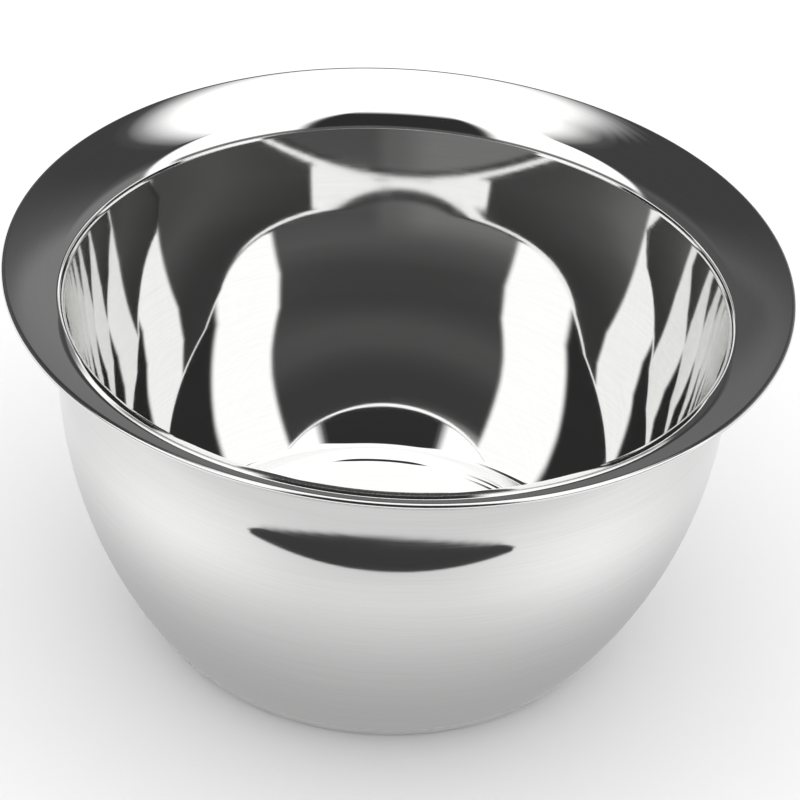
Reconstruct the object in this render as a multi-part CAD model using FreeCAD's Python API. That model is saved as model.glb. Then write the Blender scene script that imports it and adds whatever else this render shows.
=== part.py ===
import FreeCAD, Part
import math
import os

# Double-walled shaving bowl in polished stainless steel.  Millimetres, +Z up.
# The origin is on the bowl's axis, in the plane that it stands on.
# Every piece is a figure of revolution, so each one is drawn as a section in the
# XZ plane, with X as the radius, and turned once round the Z axis.

# Overall size
RIM_DIAMETER = 110.0
HEIGHT = 57.0
SHEET = 0.5                 # thickness of both pressed sheets

# Brim and neck, where the two sheets lie on each other
BRIM_FOOT = 36.0            # rise of the brim above the horizontal, where it leaves the bend
BRIM_EDGE = 15.0            # and at its outer edge
NECK_RADIUS = 46.1          # inside face, where the bend runs out into the wall
BEND_RADIUS = 3.9           # inside face of the bend between brim and wall

# Inner bowl, measured on its inside face
INNER_LEAN = 11.6           # lean of the conical upper wall from the vertical
INNER_CONE_END = 30.3       # height at which the cone starts to curve in
INNER_EASING = [(115.0, 14.2)]      # gentler first stretch of the curve: radius, lean at its foot
INNER_CURVE = 54.5          # section radius of the round lower wall under it
INNER_FLOOR = 5.4           # height of the flat ring around the floor disc
INNER_CORNER = 1.2          # crease between wall and floor
INNER_STEP_RADIUS = 28.3    # top of the step down to the floor disc
INNER_STEP_RISE = -0.6

# Outer shell, measured on its outside face
OUTER_LEAN = 0.0
OUTER_NECK_END = 44.0       # height at which the straight neck starts to curve in
OUTER_EASING = []
OUTER_CURVE = 69.8
OUTER_CORNER = 2.2
OUTER_STEP_RADIUS = 25.5    # foot of the step up to the hollowed base panel
OUTER_STEP_RISE = 1.2

STEP_BEND = 0.9             # radius of both bends of each pressed step

BEAD_RADIUS = SHEET         # the edge weld is as thick as the two sheets together


def unit(angle):
    """Direction in the section plane, angle in degrees from +X towards +Z."""
    turn = math.radians(angle)
    return FreeCAD.Vector(math.cos(turn), 0, math.sin(turn))


def line(start, end):
    return Part.LineSegment(start, end).toShape()


def arc(centre, radius, start_angle, end_angle):
    points = [centre + unit(a) * radius
              for a in (start_angle, (start_angle + end_angle) / 2, end_angle)]
    return Part.Arc(*points).toShape()


def seam_end():
    """Outer end of the seam between the two sheets, at the centre of the bead."""
    return FreeCAD.Vector(RIM_DIAMETER / 2 - BEAD_RADIUS, 0, HEIGHT - BEAD_RADIUS)


def brim_curve():
    """Centre and radius of the brim's inside face, which flattens from its foot to its edge."""
    edge = seam_end() + unit(BRIM_EDGE + 90) * SHEET
    foot_sine = math.sin(math.radians(BRIM_FOOT))
    edge_sine = math.sin(math.radians(BRIM_EDGE))
    bend_width = BEND_RADIUS * (math.cos(math.radians(INNER_LEAN)) - foot_sine)
    radius = (edge.x - NECK_RADIUS - bend_width) / (foot_sine - edge_sine)
    return edge + unit(BRIM_EDGE - 90) * radius, radius


def floor_edges(step_radius, floor, rise, ring_end):
    """Centre disc, the pressed step beside it and the flat ring, from the axis outwards.

    rise is the disc's height above the ring, negative where the disc lies lower.
    """
    way = math.copysign(1, rise)
    turn = math.degrees(math.acos(1 - abs(rise) / (2 * STEP_BEND)))
    run = 2 * STEP_BEND * math.sin(math.radians(turn))
    disc_edge = FreeCAD.Vector(step_radius - run, 0, floor + rise)
    disc_bend = disc_edge - FreeCAD.Vector(0, 0, way * STEP_BEND)
    ring_bend = FreeCAD.Vector(step_radius, 0, floor + way * STEP_BEND)
    return [line(FreeCAD.Vector(0, 0, floor + rise), disc_edge),
            arc(disc_bend, STEP_BEND, way * 90, way * (90 - turn)),
            arc(ring_bend, STEP_BEND, -way * (90 + turn), -way * 90),
            line(FreeCAD.Vector(step_radius, 0, floor), FreeCAD.Vector(ring_end, 0, floor))]


def wall_edges(top, lean, easing, radius, floor, corner):
    """Round lower wall and its corner with the floor, from the top down, and the corner's foot."""
    edges = []
    for gentle_radius, eased_lean in easing:
        centre = top + unit(180 - lean) * gentle_radius
        edges.append(arc(centre, gentle_radius, -lean, -eased_lean))
        top = centre + unit(-eased_lean) * gentle_radius
        lean = eased_lean
    centre = top + unit(180 - lean) * radius
    height = floor + corner
    reach = math.sqrt((radius - corner) ** 2 - (centre.z - height) ** 2)
    crease = FreeCAD.Vector(centre.x + reach, 0, height)
    foot_lean = math.degrees(math.atan2(centre.z - height, reach))
    edges.append(arc(centre, radius, -lean, -foot_lean))
    edges.append(arc(crease, corner, -foot_lean, -90))
    return edges, crease.x


def bowl_path(face, lean, straight_end, easing, curve, floor, corner, step_radius, rise):
    """One face of a pressed bowl, from the axis out to the edge of its brim.

    face is the face's distance below the inside face of the inner bowl, in the
    brim and the bend.
    """
    brim, brim_radius = brim_curve()
    bend = brim + unit(BRIM_FOOT + 90) * (brim_radius - BEND_RADIUS)
    bend_radius = BEND_RADIUS - face
    bend_low = bend + unit(180 - lean) * bend_radius

    inwards = (bend_low.z - straight_end) * math.tan(math.radians(lean))
    straight_low = FreeCAD.Vector(bend_low.x - inwards, 0, straight_end)
    wall, ring_end = wall_edges(straight_low, lean, easing, curve, floor, corner)

    edges = floor_edges(step_radius, floor, rise, ring_end)
    edges.extend(reversed(wall))
    edges.append(line(straight_low, bend_low))
    edges.append(arc(bend, bend_radius, 180 - lean, BRIM_FOOT + 90))
    edges.append(arc(brim, brim_radius - face, BRIM_FOOT + 90, BRIM_EDGE + 90))
    return Part.Wire(edges)


def turned(face):
    return face.revolve(FreeCAD.Vector(0, 0, 0), FreeCAD.Vector(0, 0, 1), 360)


def pressed_sheet(path, side):
    """Solid sheet of the pressed thickness on one side of a face path."""
    section = path.makeOffset2D(side * SHEET, 0, True, True)
    return turned(section)


def inner_bowl():
    """Liner: brim, bend, conical upper wall, round lower wall and stepped floor."""
    path = bowl_path(0, INNER_LEAN, INNER_CONE_END, INNER_EASING, INNER_CURVE,
                     INNER_FLOOR, INNER_CORNER, INNER_STEP_RADIUS, INNER_STEP_RISE)
    return pressed_sheet(path, -1)


def outer_shell():
    """Outer wall, base and under-brim, drawn on its outside face."""
    path = bowl_path(2 * SHEET, OUTER_LEAN, OUTER_NECK_END, OUTER_EASING, OUTER_CURVE,
                     0, OUTER_CORNER, OUTER_STEP_RADIUS, OUTER_STEP_RISE)
    return pressed_sheet(path, 1)


def lip_weld():
    """Half-round bead over the cut edges of both sheets, dressed smooth."""
    centre = seam_end()
    rounded = arc(centre, BEAD_RADIUS, BRIM_EDGE - 90, BRIM_EDGE + 90)
    flat = line(centre + unit(BRIM_EDGE + 90) * BEAD_RADIUS,
                centre + unit(BRIM_EDGE - 90) * BEAD_RADIUS)
    return turned(Part.Face(Part.Wire([rounded, flat])))


PIECES = {
    "inner_bowl": inner_bowl,
    "outer_shell": outer_shell,
    "lip_weld": lip_weld,
}

os.makedirs("parts", exist_ok=True)
for name, build in PIECES.items():
    shape = build()
    shape.exportStep("parts/" + name + ".step")
    box = shape.optimalBoundingBox(False)
    print(name, shape.ShapeType, shape.isValid(), round(shape.Volume, 1),
          [round(v, 3) for v in (box.XMax, box.YMax, box.ZMin, box.ZMax)])
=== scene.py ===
"""Double-walled stainless steel shaving bowl on a pale floor, in soft studio light.

Metres, in the CAD frame: the bowl's axis is Z, and it stands on the plane Z = 0.
The camera looks along +Y, so "front" below means -Y and "back" means +Y.
"""
import math

import bpy
from mathutils import Matrix, Vector


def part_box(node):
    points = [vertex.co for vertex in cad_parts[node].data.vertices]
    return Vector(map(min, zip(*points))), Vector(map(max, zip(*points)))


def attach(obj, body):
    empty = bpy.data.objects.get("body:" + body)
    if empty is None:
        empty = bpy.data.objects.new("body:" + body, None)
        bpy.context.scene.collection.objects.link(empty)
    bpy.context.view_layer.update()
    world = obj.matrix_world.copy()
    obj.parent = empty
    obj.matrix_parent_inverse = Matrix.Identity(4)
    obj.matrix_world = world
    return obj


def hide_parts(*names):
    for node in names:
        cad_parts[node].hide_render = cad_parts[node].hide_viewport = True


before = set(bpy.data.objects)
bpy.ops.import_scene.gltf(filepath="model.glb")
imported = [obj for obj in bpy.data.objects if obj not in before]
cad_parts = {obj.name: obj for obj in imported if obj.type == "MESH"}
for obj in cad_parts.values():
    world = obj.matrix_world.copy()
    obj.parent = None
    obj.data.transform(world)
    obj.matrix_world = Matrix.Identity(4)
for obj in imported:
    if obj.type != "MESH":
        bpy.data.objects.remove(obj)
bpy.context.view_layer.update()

MM = 0.001

# Sizes taken from the frame
RIM_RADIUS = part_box("lip_weld")[1].x
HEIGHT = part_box("lip_weld")[1].z

# The pressed sheets, seen in section
SHEET = 0.5 * MM
BRIM_FOOT = 36.0            # rise of the brim above the horizontal, where it leaves the bend
BRIM_EDGE = 15.0            # and at its outer edge
NECK_RADIUS = 46.1 * MM
BEND_RADIUS = 3.9 * MM
STEP_BEND = 0.9 * MM
BEAD_RADIUS = SHEET

# A wall is a straight stretch, leaning from the vertical, and a curve below it.  easing is the
# gentler first stretch of that curve, as its section radius and the lean at its foot.
INNER = dict(face=0.0, lean=11.6, straight_end=30.3 * MM, easing=[(115.0 * MM, 14.2)],
             curve=54.5 * MM, floor=5.4 * MM, corner=1.2 * MM,
             step_foot=28.3 * MM, rise=-0.6 * MM)
OUTER = dict(face=2 * SHEET, lean=0.0, straight_end=44.0 * MM, easing=[],
             curve=69.8 * MM, floor=0.0, corner=2.2 * MM,
             step_foot=25.5 * MM, rise=1.2 * MM)

SECTORS = 320               # facets round the axis
ARC_STEP = 1.5              # degrees of arc between section points
FEWEST_STEPS = 6            # in any arc of the section
TOUCHING = 1e-9             # points closer than this are one


def add_object(name, data):
    thing = bpy.data.objects.new(name, data)
    bpy.context.scene.collection.objects.link(thing)
    return thing


# ---------------------------------------------------------------- section geometry
def unit(angle):
    """Direction in the section plane, angle in degrees from outwards towards up."""
    turn = math.radians(angle)
    return Vector((math.cos(turn), math.sin(turn)))


def seam_end():
    """Outer end of the seam between the two sheets, at the centre of the bead."""
    return Vector((RIM_RADIUS - BEAD_RADIUS, HEIGHT - BEAD_RADIUS))


def brim_curve():
    """Centre and radius of the brim's inside face, which flattens from its foot to its edge."""
    edge = seam_end() + unit(BRIM_EDGE + 90) * SHEET
    foot_sine = math.sin(math.radians(BRIM_FOOT))
    edge_sine = math.sin(math.radians(BRIM_EDGE))
    bend_width = BEND_RADIUS * (math.cos(math.radians(INNER["lean"])) - foot_sine)
    radius = (edge.x - NECK_RADIUS - bend_width) / (foot_sine - edge_sine)
    return edge + unit(BRIM_EDGE - 90) * radius, radius


def arc(centre, radius, start, end, hollow):
    """Section points with the normal of the side that is seen.

    hollow is 1 where that side faces the arc's centre and -1 where it faces away.
    """
    count = max(FEWEST_STEPS, math.ceil(abs(end - start) / ARC_STEP))
    angles = [start + (end - start) * i / count for i in range(count + 1)]
    return [(centre + unit(a) * radius, unit(a) * -hollow) for a in angles]


def run(start, end, side):
    """Straight stretch of section, with its normal side times a quarter turn to the left."""
    along = (end - start).normalized()
    normal = Vector((-along.y, along.x)) * side
    return [(start, normal), (end, normal)]


def wall_stretches(top, lean, easing, radius, floor, corner, side):
    """Round lower wall and its corner with the floor, from the top down, and the corner's foot."""
    stretches = []
    for gentle_radius, eased_lean in easing:
        centre = top + unit(180 - lean) * gentle_radius
        stretches.append(arc(centre, gentle_radius, -lean, -eased_lean, side))
        top = centre + unit(-eased_lean) * gentle_radius
        lean = eased_lean
    centre = top + unit(180 - lean) * radius
    height = floor + corner
    reach = math.sqrt((radius - corner) ** 2 - (centre.y - height) ** 2)
    crease = Vector((centre.x + reach, height))
    foot_lean = math.degrees(math.atan2(centre.y - height, reach))
    stretches.append(arc(centre, radius, -lean, -foot_lean, side))
    stretches.append(arc(crease, corner, -foot_lean, -90, side))
    return stretches, crease.x


def face_path(face, lean, straight_end, easing, curve, floor, corner, step_foot, rise, side):
    """One face of a pressed bowl as stretches of (point, normal), from the axis outwards.

    side is 1 for a face seen from inside the bowl and -1 for one seen from outside, and rise is
    the height of the centre disc above the ring round it, negative where the disc lies lower.
    """
    way = math.copysign(1, rise)
    turn = math.degrees(math.acos(1 - abs(rise) / (2 * STEP_BEND)))
    disc_edge = Vector((step_foot - 2 * STEP_BEND * math.sin(math.radians(turn)), floor + rise))
    disc_bend = disc_edge - Vector((0, way * STEP_BEND))
    ring_bend = Vector((step_foot, floor + way * STEP_BEND))

    brim, brim_radius = brim_curve()
    bend = brim + unit(BRIM_FOOT + 90) * (brim_radius - BEND_RADIUS)
    bend_radius = BEND_RADIUS - face
    bend_low = bend + unit(180 - lean) * bend_radius

    inwards = (bend_low.y - straight_end) * math.tan(math.radians(lean))
    straight_low = Vector((bend_low.x - inwards, straight_end))
    wall, ring_end = wall_stretches(straight_low, lean, easing, curve, floor, corner, side)

    return [
        run(Vector((0, floor + rise)), disc_edge, side),
        arc(disc_bend, STEP_BEND, way * 90, way * (90 - turn), -way * side),
        arc(ring_bend, STEP_BEND, -way * (90 + turn), -way * 90, way * side),
        run(Vector((step_foot, floor)), Vector((ring_end, floor)), side),
        *[stretch[::-1] for stretch in reversed(wall)],
        run(straight_low, bend_low, side),
        arc(bend, bend_radius, 180 - lean, BRIM_FOOT + 90, -side),
        arc(brim, brim_radius - face, BRIM_FOOT + 90, BRIM_EDGE + 90, -side),
    ]


def sheet_section(shape, side):
    """Closed section of a pressed sheet: the seen face out, the cut edge, the hidden face back."""
    seen = face_path(side=side, **shape)
    hidden = [[(p - n * SHEET, -n) for p, n in reversed(stretch)] for stretch in reversed(seen)]
    edge = run(seen[-1][-1][0], hidden[0][0][0], -side)
    return seen + [edge] + hidden


def bead_section():
    """Closed section of the half-round edge weld."""
    centre = seam_end()
    rounded = arc(centre, BEAD_RADIUS, BRIM_EDGE - 90, BRIM_EDGE + 90, -1)
    return [rounded, run(rounded[-1][0], rounded[0][0], -1)]


# ---------------------------------------------------------------- lathe
def turned(point, sector):
    """A point or normal of the section, turned round the axis by a number of sectors."""
    angle = 2 * math.pi * sector / SECTORS
    return (point.x * math.cos(angle), point.x * math.sin(angle), point.y)


def lathe_vertices(points):
    """Vertices for the section's points, and for each point its vertices' numbers, by sector.

    A point on the axis has one vertex, which all the sectors share.
    """
    vertices, numbers = [], []
    for p in points:
        if p.x < TOUCHING:
            numbers.append([len(vertices)] * SECTORS)
            vertices.append((0.0, 0.0, p.y))
        else:
            numbers.append(list(range(len(vertices), len(vertices) + SECTORS)))
            vertices.extend(turned(p, s) for s in range(SECTORS))
    return vertices, numbers


def lathe_faces(spans, numbers):
    """Faces as lists of corners, each a vertex's number and the normal there.

    A span runs from one section point to the next: point, normal, next point, normal there.
    """
    faces = []
    for k, (_, normal, _, next_normal) in enumerate(spans):
        here, there = numbers[k], numbers[(k + 1) % len(numbers)]
        for s in range(SECTORS):
            t = (s + 1) % SECTORS
            corners = [(here[s], turned(normal, s)), (here[t], turned(normal, t)),
                       (there[t], turned(next_normal, t)), (there[s], turned(next_normal, s))]
            faces.append([corners[i] for i in range(4) if corners[i][0] != corners[i - 1][0]])
    return faces


def faces_inwards(face, vertices):
    """Whether the order of a face's corners turns it away from its normal."""
    a, b, c = (Vector(vertices[number]) for number, _ in face[:3])
    return (b - a).cross(c - b).dot(Vector(face[0][1])) < 0


def lathe(name, section):
    """Closed mesh of revolution about Z, smooth-shaded with the section's own normals."""
    spans = [start + end for stretch in section for start, end in zip(stretch, stretch[1:])]
    points = [span[0] for span in spans]
    if (spans[-1][2] - points[0]).length > TOUCHING:
        points.append(spans[-1][2])
    vertices, numbers = lathe_vertices(points)
    faces = lathe_faces(spans, numbers)
    if faces_inwards(faces[0], vertices):
        faces = [[face[0]] + face[:0:-1] for face in faces]

    mesh = bpy.data.meshes.new(name)
    mesh.from_pydata(vertices, [], [[number for number, _ in face] for face in faces])
    mesh.polygons.foreach_set("use_smooth", [True] * len(faces))
    mesh.normals_split_custom_set([normal for face in faces for _, normal in face])
    mesh.update()
    return add_object(name, mesh)


# ---------------------------------------------------------------- materials
LINE_WANDER = 2.5           # how much a polishing line changes once round the bowl
PATCH_SIZE = 14 * MM
STEEL_TINT = (1.0, 1.0, 0.995)


def math_node(nodes, links, operation, first, second=None):
    """Math node on two inputs, each a number or a socket, and its result."""
    node = nodes.new("ShaderNodeMath")
    node.operation = operation
    for socket, value in zip(node.inputs, (first, second)):
        if isinstance(value, bpy.types.NodeSocket):
            links.new(value, socket)
        elif value is not None:
            socket.default_value = value
    return node.outputs["Value"]


def turned_coordinates(nodes, links):
    """Place on the surface as radius, height and the direction round the axis."""
    place = nodes.new("ShaderNodeTexCoord")
    parts = nodes.new("ShaderNodeSeparateXYZ")
    links.new(place.outputs["Object"], parts.inputs["Vector"])
    x, y, z = parts.outputs
    square = math_node(nodes, links, "ADD", math_node(nodes, links, "MULTIPLY", x, x),
                       math_node(nodes, links, "MULTIPLY", y, y))
    radius = math_node(nodes, links, "SQRT", square)
    across = math_node(nodes, links, "DIVIDE", x, radius)
    along = math_node(nodes, links, "DIVIDE", y, radius)
    return radius, z, across, along


def polishing_lines(nodes, links, spacing, wander):
    """Noise drawn out round the axis, as a buffing wheel leaves it on turned metal."""
    radius, height, across, along = turned_coordinates(nodes, links)
    vector = nodes.new("ShaderNodeCombineXYZ")
    links.new(math_node(nodes, links, "MULTIPLY", across, wander), vector.inputs["X"])
    links.new(math_node(nodes, links, "MULTIPLY", along, wander), vector.inputs["Y"])
    links.new(math_node(nodes, links, "DIVIDE", radius, spacing), vector.inputs["Z"])
    noise = nodes.new("ShaderNodeTexNoise")
    noise.noise_dimensions = "4D"
    noise.inputs["Scale"].default_value = 1.0
    noise.inputs["Detail"].default_value = 3.0
    noise.inputs["Roughness"].default_value = 0.65
    links.new(vector.outputs["Vector"], noise.inputs["Vector"])
    links.new(math_node(nodes, links, "DIVIDE", height, spacing), noise.inputs["W"])
    return noise.outputs["Fac"]


def smudges(nodes, links, size):
    """Slow patches, where the polish is a little duller or has been handled."""
    place = nodes.new("ShaderNodeTexCoord")
    noise = nodes.new("ShaderNodeTexNoise")
    noise.inputs["Scale"].default_value = 1 / size
    noise.inputs["Detail"].default_value = 4.0
    noise.inputs["Distortion"].default_value = 0.6
    links.new(place.outputs["Object"], noise.inputs["Vector"])
    return noise.outputs["Fac"]


def spread(nodes, links, value, low, high, start=0.3, end=0.7):
    """Noise from start to end, mapped to low and high; most of it lies between 0.3 and 0.7."""
    node = nodes.new("ShaderNodeMapRange")
    links.new(value, node.inputs["Value"])
    node.inputs["From Min"].default_value = start
    node.inputs["From Max"].default_value = end
    node.inputs["To Min"].default_value = low
    node.inputs["To Max"].default_value = high
    return node.outputs["Result"]


def steel(name, tone, roughness, dulling, spacing, depth):
    """Polished steel with round polishing lines, this far apart and this deep.

    tone and roughness are (least, most) over the lines, and dulling is the roughness that the
    duller patches add.
    """
    material = bpy.data.materials.new(name)
    material.use_nodes = True
    nodes, links = material.node_tree.nodes, material.node_tree.links
    shader = nodes["Principled BSDF"]
    shader.inputs["Metallic"].default_value = 1.0

    lines = polishing_lines(nodes, links, spacing, LINE_WANDER)
    patches = smudges(nodes, links, PATCH_SIZE)

    level = spread(nodes, links, lines, *tone)
    colour = nodes.new("ShaderNodeCombineColor")
    for channel, tint in zip(colour.inputs, STEEL_TINT):
        links.new(math_node(nodes, links, "MULTIPLY", level, tint), channel)
    links.new(colour.outputs["Color"], shader.inputs["Base Color"])

    sheen = math_node(nodes, links, "ADD", spread(nodes, links, lines, *roughness),
                      spread(nodes, links, patches, 0.0, dulling, start=0.45, end=0.75))
    links.new(sheen, shader.inputs["Roughness"])

    relief = nodes.new("ShaderNodeBump")
    relief.inputs["Strength"].default_value = 1.0
    relief.inputs["Distance"].default_value = depth
    links.new(lines, relief.inputs["Height"])
    links.new(relief.outputs["Normal"], shader.inputs["Normal"])
    return material


# ---------------------------------------------------------------- pieces
def add_piece(node, section, material):
    piece = lathe(node + "_turned", section)
    piece.data.materials.append(material)
    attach(piece, "root")
    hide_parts(node)


add_piece("inner_bowl", sheet_section(INNER, 1),
          steel("mirror_steel", tone=(0.84, 0.88), roughness=(0.02, 0.035), dulling=0.02,
                spacing=0.30 * MM, depth=0.0002 * MM))
add_piece("outer_shell", sheet_section(OUTER, -1),
          steel("polished_steel", tone=(0.755, 0.80), roughness=(0.03, 0.05), dulling=0.015,
                spacing=0.25 * MM, depth=0.00015 * MM))
add_piece("lip_weld", bead_section(),
          steel("dressed_weld", tone=(0.72, 0.80), roughness=(0.08, 0.14), dulling=0.06,
                spacing=0.20 * MM, depth=0.0012 * MM))

# ---------------------------------------------------------------- camera
CAMERA_ELEVATION = 33.17    # above the horizontal, seen from the centre of the rim
CAMERA_DISTANCE = 12 * RIM_RADIUS
CAMERA_ROLL = 4.0
FOCAL_LENGTH = 214.7        # millimetres
SENSOR_WIDTH = 36.0         # millimetres
AIM_HEIGHT = HEIGHT - 0.393 * RIM_RADIUS    # of the point that it looks at
AIM_SIDE = 0.0232 * RIM_RADIUS              # of that point, to the right of the axis


def add_camera():
    data = bpy.data.cameras.new("camera")
    data.lens = FOCAL_LENGTH
    data.sensor_width = SENSOR_WIDTH
    data.clip_start = 0.05
    camera = add_object("camera", data)
    tilt = math.radians(CAMERA_ELEVATION)
    place = Vector((0, -CAMERA_DISTANCE * math.cos(tilt), HEIGHT + CAMERA_DISTANCE * math.sin(tilt)))
    look = Vector((AIM_SIDE, 0, AIM_HEIGHT)) - place
    turn = look.to_track_quat("-Z", "Y").to_matrix().to_4x4()
    roll = Matrix.Rotation(math.radians(CAMERA_ROLL), 4, "Z")
    camera.matrix_world = Matrix.Translation(place) @ turn @ roll
    bpy.context.scene.camera = camera


add_camera()

# ---------------------------------------------------------------- stage
MIDDLE = Vector((0, 0, HEIGHT / 2))
CARD_DISTANCE = 1.2
CARD_STEP = 2               # degrees between a card's points
SKY = 1.35                  # brightness of the pale studio all round
FLOOR_TONE = 0.82
FLOOR_SIDE = 3.0            # from its middle to each edge
FLOOR_DROP = 0.03 * MM      # keeps it clear of the base ring, which is flat in the plane Z = 0


def aim(azimuth, elevation):
    """Direction from the bowl: azimuth 0 is the back, 90 the right, 180 the camera's side."""
    a, e = math.radians(azimuth), math.radians(elevation)
    return Vector((math.sin(a) * math.cos(e), math.cos(a) * math.cos(e), math.sin(e)))


def smooth(x):
    """0 up to x = 0 and 1 from x = 1 on, with an eased rise between them."""
    x = min(1.0, max(0.0, x))
    return x * x * (3 - 2 * x)


def hump(x):
    """1 at x = 0, falling smoothly to 0 at x = -1 and x = 1."""
    return 1 - smooth(abs(x))


def glow_material():
    """Light whose strength and opacity are stored on the mesh."""
    material = bpy.data.materials.new("reflected_light")
    material.use_nodes = True
    nodes, links = material.node_tree.nodes, material.node_tree.links
    nodes.clear()
    glow = nodes.new("ShaderNodeAttribute")
    glow.attribute_name = "glow"
    opacity = nodes.new("ShaderNodeAttribute")
    opacity.attribute_name = "opacity"
    light = nodes.new("ShaderNodeEmission")
    clear = nodes.new("ShaderNodeBsdfTransparent")
    mix = nodes.new("ShaderNodeMixShader")
    out = nodes.new("ShaderNodeOutputMaterial")
    links.new(glow.outputs["Fac"], light.inputs["Strength"])
    links.new(opacity.outputs["Fac"], mix.inputs["Fac"])
    links.new(clear.outputs["BSDF"], mix.inputs[1])
    links.new(light.outputs["Emission"], mix.inputs[2])
    links.new(mix.outputs["Shader"], out.inputs["Surface"])
    return material


GLOW = glow_material()


def panel(name, rows):
    """Sheet through rows of (point, glow, opacity), seen only in reflections."""
    cells = [cell for row in rows for cell in row]
    wide = len(rows[0])
    faces = [(j * wide + i, j * wide + i + 1, (j + 1) * wide + i + 1, (j + 1) * wide + i)
             for j in range(len(rows) - 1) for i in range(wide - 1)]
    mesh = bpy.data.meshes.new(name)
    mesh.from_pydata([point for point, _, _ in cells], [], faces)
    for layer, values in (("glow", [g for _, g, _ in cells]), ("opacity", [o for _, _, o in cells])):
        mesh.attributes.new(layer, "FLOAT", "POINT").data.foreach_set("value", values)
    mesh.materials.append(GLOW)
    sheet = add_object(name, mesh)
    sheet.visible_camera = False
    sheet.visible_diffuse = False
    sheet.visible_shadow = False


def steps(start, end, step):
    count = round((end - start) / step)
    return [start + (end - start) * i / count for i in range(count + 1)]


def card(name, azimuth, elevation, soft, glow, top=None):
    """Curved card round the bowl; its edges fade over soft degrees: left, right, bottom, top.

    azimuth and elevation are its (least, most), and glow is its brightness at each of its
    points.  top, where it is given, is the elevation of the upper edge at each azimuth.
    """
    def opacity(a, e):
        across = smooth((a - azimuth[0]) / soft[0]) * smooth((azimuth[1] - a) / soft[1])
        upper = top(a) if top else elevation[1]
        return across * smooth((e - elevation[0]) / soft[2]) * smooth((upper - e) / soft[3])
    panel(name, [[(MIDDLE + aim(a, e) * CARD_DISTANCE, glow(a, e), opacity(a, e))
                  for a in steps(*azimuth, CARD_STEP)] for e in steps(*elevation, CARD_STEP)])


def back_glow(a, e):
    """Dark back of the studio, lighter low down and most so on the right."""
    lowest = smooth((30 - e) / 10)
    to_right, to_left = smooth((a + 10) / 30), smooth((-a - 10) / 15)
    return 0.055 + 0.09 * smooth((44 - e) / 26) + lowest * (0.07 * to_right - 0.05 * to_left)


def back_top(a):
    """The back is dark higher up on its left."""
    return 60 + 12 * smooth((5 - a) / 60)


def even(glow):
    """The same glow all over a card."""
    return lambda a, e: glow


# A glowing sheet just over the floor, seen only in reflections, stands in for the floor as the bowl's
# outside mirrors it.
# It holds painted shade near the base, painted light to both sides of the front, and a dark crescent
# in front: a painted reflection of the camera's side.
FLOOR_GAP = 0.3 * MM            # height of the sheet that gives this brightness
SHADE_INNER = 32.5 * MM         # its inner radius
SHADE_OUTER = 160 * MM          # and its outer one
SHADE_FADE = 45 * MM            # width over which its outer edge fades
SHADE_STEP = 0.7 * MM           # between its rings of points
SHADE_TURN = 0.75               # degrees between the points of a ring
CRESCENT_FAR = 108.9 * MM       # distance of its outer edge in front of the axis
CRESCENT_FAR_RADIUS = 86 * MM
CRESCENT_NEAR = 89.3 * MM       # distance of its inner edge in front of the axis
CRESCENT_NEAR_RADIUS = 176 * MM
CRESCENT_SIDE = 54 * MM         # distance to the side at which it starts to narrow to its tip
CRESCENT_TIP = 5 * MM           # distance over which each of its edges then moves in by TIP_NARROWING
TIP_NARROWING = 3.5 * MM
CRESCENT_BLUR = 0.8 * MM
# glow of the dark crescent, a painted reflection of the camera's side
PAINTED_CRESCENT_GLOW = 0.05
# painted shade: the sheet's brightness right beside the base, where the floor lies in the bowl's
# shade
PAINTED_BASE_SHADE = 0.42                # of the floor right beside the bowl


def in_painted_crescent(x, y):
    """1 inside the painted crescent and 0 outside, with a blurred edge."""
    def within(depth):
        return smooth(depth / CRESCENT_BLUR + 0.5)
    outer = CRESCENT_FAR_RADIUS - math.hypot(x, y + CRESCENT_FAR - CRESCENT_FAR_RADIUS)
    inner = math.hypot(x, y + CRESCENT_NEAR - CRESCENT_NEAR_RADIUS) - CRESCENT_NEAR_RADIUS
    narrowing = TIP_NARROWING * (max(0.0, abs(x) - CRESCENT_SIDE) / CRESCENT_TIP) ** 2
    return within(outer - narrowing) * within(inner - narrowing) if y < 0 else 0.0


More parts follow.
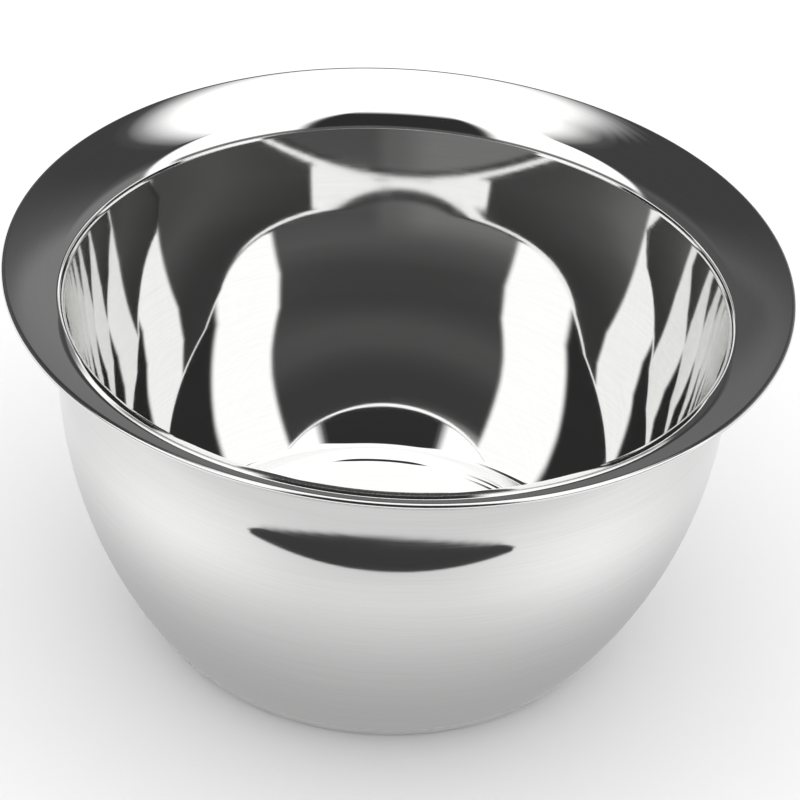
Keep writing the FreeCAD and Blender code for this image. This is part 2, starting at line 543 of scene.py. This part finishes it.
def painted_floor_light(r, angle):
    """Painted brightness of the sheet at radius r, angle degrees round from the front."""
    mm = r / MM
    # painted shade by the base fading outwards, painted light to both sides of the front, painted
    # shadow of the brim farther out, and painted shade round the crescent
    away_from_base = 0.46 * smooth((mm - 26) / 54)
    painted_light_beside_front = 0.20 * hump((abs(angle) - 58) / 45) * hump((mm - 84) / 40)
    painted_brim_shadow = 0.10 * smooth((mm - 104) / 8)
    painted_shade_round_crescent = 0.10 * hump(angle / 45) * hump((mm - 92) / 22)
    light = PAINTED_BASE_SHADE + away_from_base + painted_light_beside_front - painted_brim_shadow - painted_shade_round_crescent

    # the dark crescent in front is a painted reflection of the camera's side
    turn = math.radians(angle)
    dark = in_painted_crescent(r * math.sin(turn), -r * math.cos(turn))
    return light * (1 - dark) + PAINTED_CRESCENT_GLOW * dark


def shade_point(r, angle):
    turn = math.radians(angle)
    place = Vector((r * math.sin(turn), -r * math.cos(turn), FLOOR_GAP))
    return place, painted_floor_light(r, angle), smooth((SHADE_OUTER - r) / SHADE_FADE)


# glowing sheet of painted shade, painted light and a painted reflection, lying over the floor
def add_floor_shade():
    rings = steps(SHADE_INNER, SHADE_OUTER, SHADE_STEP)
    panel("floor_shade", [[shade_point(r, t) for t in steps(-180, 180, SHADE_TURN)] for r in rings])


def add_floor():
    mesh = bpy.data.meshes.new("floor")
    corners = [(x * FLOOR_SIDE, y * FLOOR_SIDE, -FLOOR_DROP)
               for x, y in ((-1, -1), (1, -1), (1, 1), (-1, 1))]
    mesh.from_pydata(corners, [], [(0, 1, 2, 3)])
    floor = add_object("floor", mesh)
    material = bpy.data.materials.new("floor")
    material.use_nodes = True
    shader = material.node_tree.nodes["Principled BSDF"]
    shader.inputs["Base Color"].default_value = (FLOOR_TONE, FLOOR_TONE, FLOOR_TONE, 1)
    shader.inputs["Roughness"].default_value = 0.6
    shader.inputs["Specular IOR Level"].default_value = 0.0
    mesh.materials.append(material)


add_floor()
add_floor_shade()
card("back_flag", (-98, 87), (-3, 74), (5, 5, 3, 9), back_glow, back_top)
card("front_flag", (140, 212), (-3, 80), (7, 7, 3, 16), even(0.03))
card("side_flags", (92, 268), (-3, 17), (8, 8, 3, 6), even(0.17))

world = bpy.data.worlds.new("studio")
bpy.context.scene.world = world
world.use_nodes = True
world.node_tree.nodes["Background"].inputs["Color"].default_value = (SKY, SKY, SKY, 1)

# The inside mirrors itself many times over
bpy.context.scene.cycles.max_bounces = 32
bpy.context.scene.cycles.glossy_bounces = 24
bpy.context.scene.view_settings.view_transform = "Standard"
